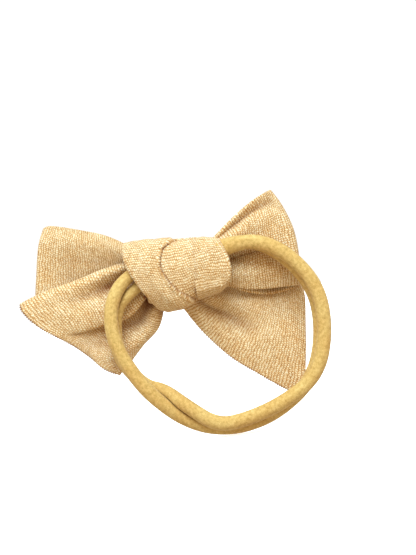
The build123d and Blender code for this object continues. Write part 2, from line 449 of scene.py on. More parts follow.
def knit_material(name):
    """Brushed knit: faint wales across the strip, uneven stitches, heathered yarn, soft fuzz and painted shade.
    """
    n = Nodes(name)
    vector = pattern_vector(n, "strip")
    loop, chance = knit_stitches(n, vector)
    fuzz = n.noise(vector, 3.6, 2.0, 0.6)
    broad = n.noise(vector, 0.1, 3.0, 0.6)
    height = n.math("ADD", n.math("MULTIPLY", loop, 0.54), n.math("MULTIPLY", fuzz, 0.6))
    # The stitches' height sets the tone: painted shade in the gaps, painted light on the crests, with fuzz and
    # a random value per loop for the yarn's uneven tone.
    tone = n.math("ADD", n.math("MULTIPLY", height, 0.72), n.math("MULTIPLY", chance, 0.09))
    yarn = n.ramp(tone, KNIT_YARN_AND_SHADE)
    patch = n.ramp(broad, [(0.35, (246, 230, 206)), (0.62, (255, 252, 246))])
    cloth = n.mix(0.8, yarn, patch, "MULTIPLY")
    # Painted shade: darker brown in folds, along the turns' diagonal edge and next to the knot.
    shade = n.math("MINIMUM", n.math("MULTIPLY", n.painted_shade(), 1.2), 0.9)
    n.link(n.mix(shade, cloth, (148, 92, 46), "MULTIPLY"), n.shader.inputs["Base Color"])
    n.link(n.math("MULTIPLY_ADD", fuzz, 0.2, 0.78), n.shader.inputs["Roughness"])
    n.shader.inputs["Specular IOR Level"].default_value = 0.1
    n.shader.inputs["Sheen Weight"].default_value = 0.14
    n.shader.inputs["Sheen Roughness"].default_value = 0.5
    n.shader.inputs["Sheen Tint"].default_value = (1.0, 0.93, 0.8, 1.0)
    n.bump(height, 0.9, 0.00045)
    return n.material


def nylon_material(name, source="strip"):
    """Soft matte nylon: very fine ribs along the band, mottling, a faint bloom and painted shade where strands
    touch.
    """
    n = Nodes(name)
    vector = pattern_vector(n, source)
    grain = n.noise(vector, 3.2, 3.0, 0.7)
    mottle = n.noise(vector, 0.7, 3.0, 0.6)
    broad = n.noise(vector, 0.09, 2.0)
    across = n.math("MULTIPLY", n.separate(vector)[1], 11.0)
    rib = n.math("SINE", n.math("ADD", across, n.math("MULTIPLY", mottle, 5.0)))
    height = n.math("ADD", n.math("MULTIPLY", rib, 0.08), grain)
    tone = n.math("ADD", n.math("MULTIPLY", grain, 0.45), n.math("MULTIPLY", mottle, 0.55))
    colour = n.ramp(tone, [(0.34, (176, 140, 78)), (0.5, (211, 179, 110)), (0.67, (235, 208, 145))])
    patch = n.ramp(broad, [(0.35, (244, 226, 196)), (0.65, (255, 252, 240))])
    band = n.mix(0.7, colour, patch, "MULTIPLY")
    # Painted shade, darker brown where the two strands touch.
    shade = n.math("MULTIPLY", n.painted_shade(), 0.85)
    n.link(n.mix(shade, band, (118, 80, 38), "MULTIPLY"), n.shader.inputs["Base Color"])
    n.link(n.math("MULTIPLY_ADD", grain, 0.2, 0.66), n.shader.inputs["Roughness"])
    n.shader.inputs["Specular IOR Level"].default_value = 0.2
    n.shader.inputs["Sheen Weight"].default_value = 0.15
    n.shader.inputs["Sheen Roughness"].default_value = 0.45
    n.bump(height, 0.45, 0.00018)
    return n.material


def thread_material(name, source="strip"):
    """Two-ply sewing thread with its twist."""
    n = Nodes(name)
    vector = pattern_vector(n, source)
    place = n.separate(vector)
    twist = n.math("ADD", n.math("MULTIPLY", place[0], 9.0), n.math("MULTIPLY", place[1], 6.0))
    twist = n.math("SINE", twist)
    grain = n.noise(vector, 3.0, 2.0)
    tone = n.math("ADD", n.math("MULTIPLY_ADD", twist, 0.16, 0.3), n.math("MULTIPLY", grain, 0.4))
    colour = n.ramp(tone, [(0.25, (150, 104, 60)), (0.55, (196, 150, 98)), (0.8, (224, 184, 130))])
    n.link(colour, n.shader.inputs["Base Color"])
    n.link(n.math("MULTIPLY_ADD", grain, 0.2, 0.6), n.shader.inputs["Roughness"])
    n.bump(twist, 0.4, 0.0001)
    return n.material


KNIT = knit_material("brushed_knit")
NYLON = nylon_material("soft_nylon")
THREAD = thread_material("sewing_thread")


def dress(piece, material, node):
    """Material and material slot of a piece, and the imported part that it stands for."""
    piece.data.materials.append(material)
    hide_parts(node)


# ---------------------------------------------------------------- camera

def make_camera():
    data = bpy.data.cameras.new("camera")
    camera = bpy.data.objects.new("camera", data)
    bpy.context.scene.collection.objects.link(camera)
    data.sensor_width = 36.0
    data.lens = data.sensor_width * VIEW_DISTANCE / VIEW_HEIGHT
    data.clip_end = 20.0
    x, y, z = VIEW_CENTRE
    camera.location = point(x, y - VIEW_DISTANCE, z)
    camera.rotation_euler = (math.pi / 2, ROLL, 0.0)
    bpy.context.scene.camera = camera


# ---------------------------------------------------------------- elastic band

# Centre lines of the two free strands, from the right exit to the left one. The first and last points lie
# inside the knot.
ROUTE_A = [
    (16.8, 8.4, 5.4), (22.4, 6.6, 7.8), (35.2, 4.2, 8.6), (47.8, 3.5, 0.4), (56.8, 3.4, -13.8),
    (57.4, 3.4, -31.0), (51.6, 3.4, -48.5), (37.0, 3.4, -57.2), (22.0, 3.3, -61.8), (9.2, 3.6, -63.0),
    (-2.2, 4.6, -53.2), (-10.2, 8.2, -45.9), (-17.2, 9.3, -43.6), (-24.0, 9.4, -35.0), (-27.0, 9.4, -25.0),
    (-25.7, 8.9, -13.6), (-21.4, 7.9, -7.1), (-13.2, 7.6, -2.8),
]
ROUTE_B = [
    (16.8, 11.6, 6.6), (22.4, 11.4, 8.8), (34.8, 9.8, 8.2), (47.0, 9.4, -0.8), (55.6, 9.4, -15.0),
    (56.0, 9.4, -31.0), (50.8, 9.4, -48.0), (39.0, 9.2, -58.4), (24.0, 9.2, -64.4), (9.6, 9.2, -64.8),
    (-3.4, 8.2, -59.2), (-13.8, 4.0, -49.4), (-21.8, 3.3, -37.4), (-27.0, 3.3, -25.0), (-27.4, 3.6, -12.6),
    (-23.6, 4.9, -3.8), (-17.6, 6.2, 1.6), (-12.0, 6.8, 4.0),
]


def route_points(name, route):
    """Points along the smooth line that the route's points control."""
    curve = bpy.data.curves.new(name, "CURVE")
    curve.dimensions = "3D"
    curve.resolution_u = 16
    spline = curve.splines.new("NURBS")
    spline.points.add(len(route) - 1)
    for control, place in zip(spline.points, route):
        control.co = (*point(*place), 1.0)
    spline.order_u = 3
    spline.use_endpoint_u = True
    holder = bpy.data.objects.new(name, curve)
    bpy.context.scene.collection.objects.link(holder)
    line = bpy.data.meshes.new_from_object(holder)
    points = np.array([v.co[:] for v in line.vertices]) / MM
    bpy.data.objects.remove(holder)
    bpy.data.curves.remove(curve)
    bpy.data.meshes.remove(line)
    return points


def line_frames(points):
    """Two unit normals at each point, carried along the line without twist."""
    tangent = np.gradient(points, axis=0)
    tangent /= np.linalg.norm(tangent, axis=1, keepdims=True)
    side = np.zeros_like(points)
    current = np.cross(tangent[0], (0.0, 1.0, 0.0))
    for i, t in enumerate(tangent):
        current = current - t * (current @ t)
        current /= np.linalg.norm(current)
        side[i] = current
    return side, np.cross(tangent, side)


def grooved_radius(count, angle, groove):
    """Share of the full radius round each of count rings, less where the groove dents it."""
    radial = np.ones((count, len(angle)))
    if groove is not None:
        place, width, depth = groove
        gap = np.abs((angle[None, :] - place[:, None] + math.pi) % (2 * math.pi) - math.pi)
        radial -= depth[:, None] * np.exp(-((gap / width) ** 2))
    return radial


def tube_faces(count, sides):
    """Faces of a tube of count rings, closed at each end by a fan round one more vertex."""
    faces = []
    for r in range(count - 1):
        for c in range(sides):
            d = (c + 1) % sides
            faces.append((r * sides + c, r * sides + d, (r + 1) * sides + d, (r + 1) * sides + c))
    start = count * sides
    end = start + 1
    last_ring = start - sides
    for c in range(sides):
        d = (c + 1) % sides
        faces.append((start, d, c))
        faces.append((end, last_ring + c, last_ring + d))
    return faces


def touching(vertices, beside):
    """Painted shade: 1 where a vertex meets the strand whose centre line is beside, falling to 0 at TOUCH_GAP
    from it.
    """
    if beside is None:
        return np.zeros(len(vertices))
    gap = [np.sqrt(((beside - v) ** 2).sum(axis=1).min()) - STRAND_D / 2 for v in vertices]
    return np.clip(1 - np.array(gap) / TOUCH_GAP, 0.0, 1.0) ** 2


def tube(name, points, half_side, half_other, sides=28, groove=None, beside=None):
    """Closed tube. half_side and half_other are its half widths at each point.

    groove is (its angle at each point, its width as an angle, its depth at each point). beside is the line of
    another tube: painted shade goes where the two touch.
    """
    side, other = line_frames(points)
    angle = np.linspace(0, 2 * math.pi, sides, endpoint=False)
    radial = grooved_radius(len(points), angle, groove)
    ring = side[:, None, :] * (np.cos(angle) * radial * half_side[:, None])[..., None]
    ring = ring + other[:, None, :] * (np.sin(angle) * radial * half_other[:, None])[..., None]
    rings = points[:, None, :] + ring
    along = line_length(points)
    strip = np.zeros(rings.shape)
    strip[..., 0] = along[:, None]
    strip[..., 1] = angle[None, :] * STRAND_D / 2
    vertices = np.concatenate([rings.reshape(-1, 3), points[:1], points[-1:]])
    strips = np.concatenate([strip.reshape(-1, 3), [[0, 0, 0], [along[-1], 0, 0]]])
    faces = tube_faces(len(points), sides)
    return make_mesh(name, vertices, faces, strips, (0.0, math.pi * STRAND_D), touching(vertices, beside))


def build_strand(name, route, other_route, widen_right, seed):
    """Free strand of the band: a little uneven, squeezed at both ends, and with a shallow winding groove."""
    points = route_points(name + "_line", route)
    beside = route_points(name + "_beside", other_route)
    length = line_length(points)
    total = length[-1]
    rng = np.random.default_rng(seed)
    phase = rng.uniform(0, 2 * math.pi, 3)
    uneven = 1 + 0.018 * np.sin(length / 9.0 + phase[0]) + 0.012 * np.sin(length / 4.1 + phase[1])
    squeeze_right = np.exp(-((length / SQUEEZE_REACH) ** 2))
    squeeze_left = np.exp(-(((total - length) / SQUEEZE_REACH) ** 2))
    half = STRAND_D / 2 * uneven
    half_side = half * (1 + widen_right * squeeze_right - SQUEEZE * squeeze_left)
    half_other = half * (1 - 0.2 * squeeze_right - SQUEEZE * squeeze_left)
    groove_place = math.pi * 0.5 + length / 60.0 + phase[2]
    groove = (groove_place, 0.16, np.full(len(points), 0.1))
    piece = tube(name, points, half_side, half_other, groove=groove, beside=beside)
    dress(piece, NYLON, name)
    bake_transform(piece)


# ---------------------------------------------------------------- knot

# Along the knot: the heights of its top and bottom, where its back and its front lie, and how square its
# section is.
KNOT_X = [-22.0, -16.0, -10.0, -4.0, 2.0, 9.0, 14.0, 19.0, 24.0]
KNOT_TOP = [14.8, 15.0, 15.2, 14.7, 14.5, 15.0, 14.6, 13.6, 12.6]
KNOT_BOTTOM = [-10.0, -11.4, -13.0, -15.4, -15.0, -12.8, -11.8, -10.9, -10.4]
KNOT_NEAR = [1.2, 0.5, 0.0, -0.3, 0.0, 0.2, 0.2, 0.3, 0.6]
KNOT_FAR = [19.6, 20.6, 21.2, 21.4, 21.4, 21.2, 20.8, 20.0, 18.8]
KNOT_SQUARENESS = [2.2, 2.2, 2.2, 2.2, 2.2, 2.3, 2.6, 3.1, 3.8]
# Edges of the turns: x at each height.
EDGE_Z = [-16.0, -12.4, -8.2, -4.6, -1.0, 3.8, 7.8, 11.0, 15.0]
LEFT_MOUTH = [-6.0, -9.6, -12.9, -14.6, -16.1, -17.5, -18.5, -18.7, -18.4]
RIGHT_MOUTH = [20.4, 21.4, 22.3, 22.7, 22.8, 22.0, 21.2, 20.6, 20.0]
DIAGONAL = [8.4, 5.2, 0.7, -2.1, -3.6, -4.9, -4.8, -3.4, 2.6]
# The inner turn's left edge, which is under the outer turn, and how deep the inner turn lies.
INNER_LEFT = -11.0
INNER_INSET = TURN * 1.75
# A turn rolls in at its edges through this angle, in this many rows.
ROLL_TURN = math.radians(150)
ROLL_ROWS = 8


def knot_surface(x, theta, inset):
    """Point of the knot's skin, at x and inset from it.

    theta is 0 on the back, a quarter turn at the top and half a turn on the front.
    """
    top = np.interp(x, KNOT_X, KNOT_TOP)
    bottom = np.interp(x, KNOT_X, KNOT_BOTTOM)
    near = np.interp(x, KNOT_X, KNOT_NEAR)
    far = np.interp(x, KNOT_X, KNOT_FAR)
    power = 2 / np.interp(x, KNOT_X, KNOT_SQUARENESS)
    c, s = np.cos(theta), np.sin(theta)
    y = (near + far) / 2 - ((far - near) / 2 - inset) * np.sign(c) * np.abs(c) ** power
    z = (top + bottom) / 2 + ((top - bottom) / 2 - inset) * np.sign(s) * np.abs(s) ** power
    return np.stack([x, y, z], axis=-1)


def edge_x(theta, back_edge, front_edge):
    """x of a turn's edge round the knot, when the edges on the back and on the front differ."""
    s = np.sin(theta)
    z = 14.0 * np.sign(s) * np.abs(s) ** 0.8
    on_front = np.clip((-0.2 - np.cos(theta)) / 0.6, 0.0, 1.0)
    on_front = on_front ** 2 * (3 - 2 * on_front)
    return np.interp(z, EDGE_Z, back_edge) * (1 - on_front) + np.interp(z, EDGE_Z, front_edge) * on_front


def left_mouth(theta):
    """x where the left loop and tail leave the knot, which is the outer turn's left edge."""
    return edge_x(theta, LEFT_MOUTH, LEFT_MOUTH)


def diagonal(theta):
    """x of the line across the back where the outer turn crosses over the inner one."""
    return edge_x(theta, DIAGONAL, DIAGONAL)


def outer_right(theta):
    """Right edge of the outer turn: the diagonal on the back, and the right mouth on the front."""
    return edge_x(theta, DIAGONAL, RIGHT_MOUTH)


def inner_left(theta):
    """Left edge of the inner turn."""
    return np.full_like(theta, INNER_LEFT)


def inner_right(theta):
    """Right edge of the inner turn, just inside the outer one's on the front."""
    return edge_x(theta, RIGHT_MOUTH, RIGHT_MOUTH) - 0.2


def crease(distance, width):
    """Rounded ridge of height 1 where the distance is 0."""
    return np.exp(-((distance / width) ** 2))


def on_back(theta, sharpness):
    """1 on the knot's back, falling to 0 at its top and bottom."""
    return np.clip(np.cos(theta) * sharpness, 0.0, 1.0)


def outer_folds(x, theta):
    """Rolled ridge along the diagonal edge on the back, a groove beside it, and soft pulls in the cloth."""
    gap = outer_right(theta) - x
    ridge = 0.35 * crease(gap - 1.2, 1.0) - 0.5 * crease(gap - 4.8, 1.7)
    wave = np.sin((x - left_mouth(theta)) * 1.1 + 1.5 * np.sin(theta * 2))
    pull = 0.22 * wave * crease(theta - 2 * math.pi - 0.9, 0.7)
    return ridge * on_back(theta, 1.6) + pull


def inner_folds(x, theta):
    """Slack creases that run round the turn, and the groove beside the outer turn's diagonal edge."""
    beside_edge = -0.4 * crease(x - diagonal(theta) - 0.7, 0.9) * on_back(theta, 1.6)
    slack = 0.25 * crease(x - 9.0 - 1.5 * np.sin(theta), 1.6) - 0.2 * crease(x - 14.5 + np.sin(theta), 1.4)
    return slack + beside_edge


def rolled(edge, direction, radius):
    """Rows of x and of inset where a turn rolls in round a small radius, from its hidden edge outwards."""
    angle = ROLL_TURN * np.linspace(1, 0, ROLL_ROWS + 1)[:-1, None]
    x = edge + direction * (radius * np.sin(angle) - radius)
    return x, radius * (1 - np.cos(angle))


def turn_rows(theta, left, right, left_roll, right_roll, flat_rows):
    """Rows of x and of inset across a turn, from the roll at its left edge to the roll at its right edge."""
    front = (1 - np.cos(theta)) / 2
    left_radius = left_roll[0] * (1 - front) + left_roll[1] * front
    right_radius = right_roll[0] * (1 - front) + right_roll[1] * front
    left_x, left_inset = rolled(left, -1, left_radius)
    right_x, right_inset = rolled(right, 1, right_radius)
    share = np.linspace(0, 1, flat_rows)[:, None]
    flat_x = (left + left_radius) * (1 - share) + (right - right_radius) * share
    x = np.concatenate([left_x, flat_x, right_x[::-1]])
    inset = np.concatenate([left_inset, np.zeros(flat_x.shape), right_inset[::-1]])
    return x, inset


def knot_turn(name, theta_count, flat_rows, left_edge, right_edge, left_roll, right_roll, inset, folds, seed):
    """Closed turn of the strip between two edges. Each roll is (radius on the back, radius on the front).

    inset is how deep it lies under the knot's skin. folds gives the height of its creases at x and theta.
    """
    theta = np.linspace(math.pi, 3 * math.pi, theta_count, endpoint=False)
    x, drop = turn_rows(theta, left_edge(theta), right_edge(theta), left_roll, right_roll, flat_rows)
    grid = knot_surface(x, np.broadcast_to(theta, x.shape), drop + inset)
    height = lumps(grid, KNOT_LUMPS, seed) * 0.14 + folds(x, theta)
    grid = grid - grid_normals(grid, True) * height[..., None]
    around = running_length(np.concatenate([grid, grid[:, :1]], axis=1), 1).mean(axis=0)
    strip = np.zeros(grid.shape)
    strip[..., 0] = around[None, :-1]
    strip[..., 1] = x
    # Painted shade: a thin dark line along the diagonal edge on the back, where the outer turn lies over the
    # inner one.
    painted_contact_shade = crease(x - diagonal(theta) - 0.3, 0.65) * on_back(theta, 2.2)
    return thick_sheet(name, grid, strip, TURN, wraps=True, period=(around[-1], 0.0), painted_contact_shade=painted_contact_shade)


def build_outer_turn():
    outer = knot_turn("knot_outer_turn_cloth", 220, 70, left_mouth, outer_right,
                      (1.0, 1.3), (0.5, 1.3), TURN / 2, outer_folds, 11)
    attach(outer, "knot")
    dress(outer, KNIT, "knot_outer_turn")


def build_inner_turn():
    inner = knot_turn("knot_inner_turn_cloth", 200, 70, inner_left, inner_right,
                      (0.5, 0.5), (0.8, 1.3), INNER_INSET, inner_folds, 5)
    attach(inner, "knot")
    dress(inner, KNIT, "knot_inner_turn")


def build_tucked_end():
    """Flat fold of the strip's end at the lower right of the back. It runs down and under the knot.

    It rises off the inner turn over its first rows, and lies down again towards its right edge.
    """
    r, c = np.meshgrid(np.linspace(0, 1, 46), np.linspace(0, 1, 40), indexing="ij")
    theta = np.radians(-24.0 - 74.0 * r)
    left = 8.0 + 0.6 * r
    right = 21.4 - 2.2 * r ** 2
    x = left + (right - left) * c
    lift = TURN * 0.95 * np.clip(r * 3.2, 0.0, 1.0) * np.clip((1 - c) * 5.0, 0.25, 1.0)
    grid = knot_surface(x, theta, INNER_INSET - lift)
    piece = thick_sheet("knot_tucked_end_cloth", grid, strip_coordinates(grid, 22.0), TURN * 0.7)
    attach(piece, "knot")
    dress(piece, KNIT, "knot_tucked_end")


# ---------------------------------------------------------------- loops and tails

# Stations of each piece, from the knot outwards, and for a loop from the knot out and back to it. Each runs
# over the pleats from one edge of the strip to the other.
LEFT_TAIL = [
    [(-12.0, 15.6, 4.4), (-12.0, 13.6, 3.0), (-11.6, 16.0, 0.2), (-11.2, 13.6, -3.2), (-11.0, 13.8, -6.2),
     (-10.2, 16.0, -6.2), (-9.4, 16.2, -8.8), (-8.0, 14.6, -11.0), (-6.4, 15.8, -12.0)],
    [(-18.4, 15.8, 6.6), (-18.2, 12.8, 4.6), (-17.6, 16.4, 0.8), (-14.8, 12.2, -5.0), (-13.4, 12.0, -8.4),
     (-12.2, 17.4, -7.0), (-11.4, 17.6, -11.0), (-9.2, 14.2, -13.6), (-6.2, 15.8, -14.8)],
    [(-27.6, 15.6, 5.3), (-27.0, 12.6, 3.2), (-25.6, 16.2, -1.8), (-22.2, 13.0, -8.8), (-20.4, 12.9, -14.3),
     (-18.4, 17.5, -12.4), (-16.4, 17.8, -17.2), (-12.8, 14.0, -20.2), (-9.2, 15.8, -21.4)],
    [(-38.2, 15.6, 2.5), (-37.4, 12.8, 0.4), (-35.0, 13.9, -4.4), (-31.4, 11.8, -10.6), (-29.4, 12.6, -16.0),
     (-27.8, 16.8, -14.6), (-25.4, 17.2, -20.0), (-20.2, 13.4, -25.8), (-15.6, 15.4, -26.8)],
    [(-49.0, 15.2, 0.6), (-48.2, 13.2, -1.8), (-45.6, 12.9, -6.2), (-42.0, 11.8, -11.6), (-39.2, 12.8, -17.4),
     (-37.2, 15.2, -18.2), (-33.4, 15.8, -23.2), (-27.6, 13.4, -29.6), (-20.6, 15.4, -31.9)],
    [(-57.6, 14.6, -1.7), (-56.8, 13.4, -4.2), (-54.2, 12.9, -8.2), (-50.6, 12.6, -12.6), (-46.6, 13.0, -17.4),
     (-43.6, 14.0, -20.2), (-38.6, 14.8, -25.0), (-32.6, 13.6, -31.4), (-24.0, 15.2, -35.0)],
    [(-63.2, 14.4, -3.6), (-62.8, 13.8, -6.6), (-59.6, 13.4, -11.2), (-55.8, 13.0, -15.0), (-50.2, 13.2, -19.1),
     (-44.4, 14.0, -23.3), (-38.4, 14.5, -28.8), (-33.0, 13.8, -34.6), (-27.2, 15.0, -38.0)],
]
LEFT_LOOP = [
    [(-15.0, 18.2, 11.0), (-14.8, 17.4, 8.0), (-14.4, 18.0, 3.0), (-14.0, 18.2, -1.0), (-13.0, 17.6, -5.0),
     (-11.6, 18.2, -9.0)],
    [(-19.2, 19.0, 15.2), (-18.8, 17.0, 11.4), (-17.6, 18.4, 6.0), (-16.6, 18.8, 1.0), (-15.0, 18.9, -4.0),
     (-13.4, 19.4, -9.6)],
    [(-26.5, 19.6, 19.4), (-26.4, 16.8, 14.6), (-26.2, 18.4, 8.0), (-26.0, 19.2, 1.5), (-25.8, 19.2, -5.0),
     (-25.5, 19.6, -11.0)],
    [(-37.6, 19.4, 23.3), (-38.4, 16.6, 18.0), (-39.2, 18.2, 10.0), (-40.0, 19.0, 3.0), (-41.0, 18.4, -5.0),
     (-42.0, 18.8, -12.2)],
    [(-46.2, 19.2, 25.8), (-49.4, 17.4, 20.0), (-51.6, 17.8, 12.0), (-53.0, 18.4, 4.0), (-54.4, 18.4, -3.4),
     (-55.6, 18.8, -9.6)],
    [(-49.2, 20.8, 25.4), (-51.8, 20.6, 19.6), (-53.6, 20.8, 12.0), (-55.0, 21.2, 4.4), (-56.2, 21.2, -2.8),
     (-57.0, 21.2, -9.0)],
    [(-46.4, 23.0, 24.8), (-49.8, 23.8, 18.8), (-51.6, 24.0, 11.2), (-53.0, 24.2, 4.0), (-54.2, 24.0, -3.4),
     (-55.4, 23.6, -9.4)],
    [(-37.0, 22.8, 22.2), (-38.2, 24.0, 16.8), (-39.2, 24.6, 9.6), (-40.0, 24.8, 3.0), (-41.0, 24.4, -5.0),
     (-41.8, 23.4, -11.8)],
    [(-26.0, 21.2, 18.2), (-26.0, 22.0, 13.6), (-26.0, 22.4, 7.6), (-26.0, 22.4, 1.6), (-25.8, 22.2, -5.0),
     (-25.5, 21.4, -11.2)],
    [(-19.4, 19.8, 13.8), (-18.8, 19.8, 10.4), (-17.8, 20.0, 6.0), (-16.6, 20.2, 1.0), (-15.2, 19.8, -4.0),
     (-13.6, 19.6, -9.0)],
    [(-15.4, 19.0, 10.0), (-15.2, 19.2, 7.0), (-14.8, 19.4, 3.6), (-14.4, 19.4, 0.0), (-13.4, 19.2, -4.0),
     (-12.0, 19.0, -8.0)],
]
RIGHT_LOOP = [
    [(14.0, 15.2, 9.0), (14.0, 15.8, 8.0), (14.0, 14.4, 6.8), (14.0, 14.6, 5.6), (14.0, 14.4, 4.4),
     (14.0, 17.0, 2.0), (14.0, 14.4, 1.6), (14.0, 14.0, -3.6), (14.0, 15.4, -8.0)],
    [(19.6, 14.8, 13.2), (20.4, 16.2, 11.6), (21.4, 13.6, 9.8), (21.6, 14.4, 7.4), (21.8, 14.4, 5.0),
     (22.4, 17.6, -0.4), (22.2, 14.2, 1.0), (22.6, 11.8, -3.4), (21.8, 14.6, -8.2)],
    [(26.8, 14.8, 18.9), (28.2, 16.6, 16.4), (29.6, 13.8, 13.6), (29.6, 14.4, 10.0), (29.2, 14.6, 6.0),
     (29.0, 17.6, 0.4), (28.6, 14.4, 2.2), (28.4, 11.6, -3.8), (28.2, 14.6, -10.4)],
    [(34.6, 14.9, 24.1), (36.2, 16.4, 20.6), (37.2, 13.9, 17.2), (37.4, 14.2, 12.4), (37.2, 14.8, 7.4),
     (36.8, 17.4, 1.0), (36.4, 14.6, 2.6), (36.4, 12.4, -4.6), (36.2, 14.8, -11.5)],
    [(40.8, 15.4, 27.1), (42.6, 16.0, 22.6), (43.6, 14.4, 17.8), (44.0, 14.2, 12.4), (44.2, 14.6, 6.4),
     (44.2, 16.0, -1.4), (43.8, 14.2, -1.6), (43.8, 13.8, -6.8), (43.4, 14.8, -11.7)],
    [(42.4, 16.1, 27.7), (45.2, 16.0, 22.2), (47.2, 15.2, 16.6), (48.4, 15.0, 11.4), (49.0, 15.2, 5.2),
     (49.2, 15.5, -2.2), (48.9, 15.1, -4.2), (48.8, 15.1, -7.6), (48.2, 15.6, -11.9)],
    [(42.8, 17.3, 27.9), (46.0, 17.4, 22.2), (48.4, 17.4, 16.4), (49.8, 17.4, 11.0), (50.4, 17.4, 4.8),
     (50.5, 17.4, -1.8), (50.4, 17.4, -4.4), (50.3, 17.4, -7.6), (50.0, 17.4, -12.0)],
    [(42.2, 18.6, 27.5), (45.2, 19.2, 21.8), (47.2, 19.6, 16.0), (48.6, 19.8, 10.8), (49.2, 19.8, 4.8),
     (49.2, 19.8, -1.8), (48.9, 19.8, -4.4), (48.6, 19.6, -8.0), (47.8, 18.6, -12.9)],
    [(36.4, 18.8, 24.8), (37.2, 20.0, 20.4), (38.0, 20.8, 15.4), (38.2, 21.0, 10.4), (38.2, 21.0, 5.0),
     (38.2, 21.0, 0.6), (38.2, 20.9, -2.8), (38.0, 20.4, -8.0), (37.6, 17.6, -13.9)],
    [(27.6, 17.9, 18.4), (28.0, 18.6, 15.2), (28.4, 19.0, 11.4), (28.6, 19.2, 7.8), (28.6, 19.2, 4.2),
     (28.6, 19.2, 0.6), (28.6, 19.2, -2.4), (28.2, 18.8, -6.0), (27.6, 16.8, -11.4)],
    [(20.0, 17.0, 12.2), (20.8, 17.4, 10.4), (21.6, 17.6, 8.0), (22.0, 17.6, 5.4), (22.0, 17.6, 2.8),
     (22.0, 17.6, 0.4), (22.0, 17.6, -1.8), (21.8, 17.4, -5.0), (21.4, 16.6, -8.6)],
    [(14.0, 16.8, 8.4), (14.0, 17.4, 7.0), (14.0, 17.4, 5.4), (14.0, 17.4, 3.6), (14.0, 17.4, 1.8),
     (14.0, 17.4, 0.2), (14.0, 17.4, -1.8), (14.0, 17.4, -4.2), (14.0, 16.8, -7.6)],
]
RIGHT_TAIL = [
    [(0.6, 17.2, -10.6), (4.6, 15.4, -10.0), (8.4, 17.0, -9.4), (12.0, 15.6, -8.6), (15.6, 17.2, -7.6),
     (18.8, 19.6, -5.4)],
    [(2.6, 17.4, -15.6), (6.2, 15.4, -15.0), (10.4, 17.8, -13.8), (14.8, 15.8, -12.2), (18.6, 19.0, -10.0),
     (21.6, 21.6, -7.6)],
    [(9.0, 18.6, -25.8), (12.8, 16.8, -23.0), (17.4, 19.2, -19.0), (21.6, 17.0, -15.6), (24.6, 20.0, -11.6),
     (26.8, 22.4, -8.4)],
    [(18.2, 18.9, -36.8), (21.8, 17.4, -31.0), (26.4, 18.8, -25.0), (30.4, 17.6, -19.0), (33.0, 20.4, -13.6),
     (34.4, 22.8, -9.6)],
    [(28.4, 19.0, -45.2), (31.6, 18.0, -39.0), (35.4, 17.4, -31.0), (38.6, 18.6, -22.6), (40.6, 20.4, -15.6),
     (41.4, 22.6, -10.6)],
    [(37.0, 19.2, -51.8), (39.8, 18.5, -45.6), (43.2, 17.6, -36.0), (45.6, 18.6, -26.0), (46.8, 20.0, -17.4),
     (47.2, 21.8, -11.4)],
    [(44.6, 19.0, -57.2), (47.0, 18.8, -50.0), (49.0, 18.8, -38.0), (50.4, 19.2, -27.6), (51.6, 19.9, -17.6),
     (51.4, 21.0, -11.6)],
]


def build_left_tail():
    # The left tail gets painted shade where it leaves the knot.
    left_tail, grid = strip_piece("left_tail_cloth", LEFT_TAIL, 110, 130, 0.10, 21, root=0.9)
    dress(left_tail, KNIT, "left_tail")
    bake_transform(left_tail)
    return grid


def build_left_loop():
    left_loop, _ = strip_piece("left_loop_cloth", LEFT_LOOP, 170, 80, 0.10, 22)
    dress(left_loop, KNIT, "left_loop")
    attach(left_loop, "left_loop")


def build_right_loop():
    right_loop, _ = strip_piece("right_loop_cloth", RIGHT_LOOP, 150, 110, 0.08, 23)
    dress(right_loop, KNIT, "right_loop")
    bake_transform(right_loop)


def build_right_tail():
    right_tail, grid = strip_piece("right_tail_cloth", RIGHT_TAIL, 120, 100, 0.10, 24)
    dress(right_tail, KNIT, "right_tail")
    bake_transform(right_tail)
    return grid


def overlock(name, edge, inner_line, node, body):
    """Thread that wraps a cloth edge in a row of stitches. inner_line lies in the cloth beside the edge."""
    inward = inner_line - edge
    inward = inward / np.linalg.norm(inward, axis=1, keepdims=True)
    length = line_length(edge)
    turns = int(length[-1] / STITCH_PITCH)
    t = np.linspace(0, length[-1], turns * STITCH_POINTS)
    base = np.stack([np.interp(t, length, edge[:, k]) for k in range(3)], axis=1)
    inner = np.stack([np.interp(t, length, inward[:, k]) for k in range(3)], axis=1)
    face = np.array([0.0, 1.0, 0.0])
    phase = 2 * math.pi * t / STITCH_PITCH
    centre = base + inner * (STITCH_WIDTH * 0.5 - STITCH_PAST_EDGE)
    path = centre - inner * (np.cos(phase) * STITCH_WIDTH * 0.5)[:, None]
    path = path + face * (np.sin(phase) * (PLY / 2 + STITCH_OFF_CLOTH))[:, None]
    half = np.full(len(path), THREAD_RADIUS)
    piece = tube(name, path, half, half, sides=6)
    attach(piece, body)
    dress(piece, THREAD, node)


def build_loops_and_tails():
    """The right tail is overlocked along its side, and the left tail along its end."""
    left = build_left_tail()
    build_left_loop()
    build_right_loop()
    right = build_right_tail()
    overlock("right_tail_edge_thread", right[28:, 0], right[28:, 10],
             "right_tail_edge_stitching", "right_tail")
    overlock("left_tail_edge_thread", left[-1, 4:-4], left[-10, 4:-4],
             "left_tail_edge_stitching", "left_tail")


# ---------------------------------------------------------------- inside the knot

# Waist: where its sections lie along the knot, the number of its pleats' faces, and half its height.
WAIST_X = [-13.0, -6.0, 2.0, 10.0, 15.0]
WAIST_FOLDS = 12
WAIST_HALF = 9.3


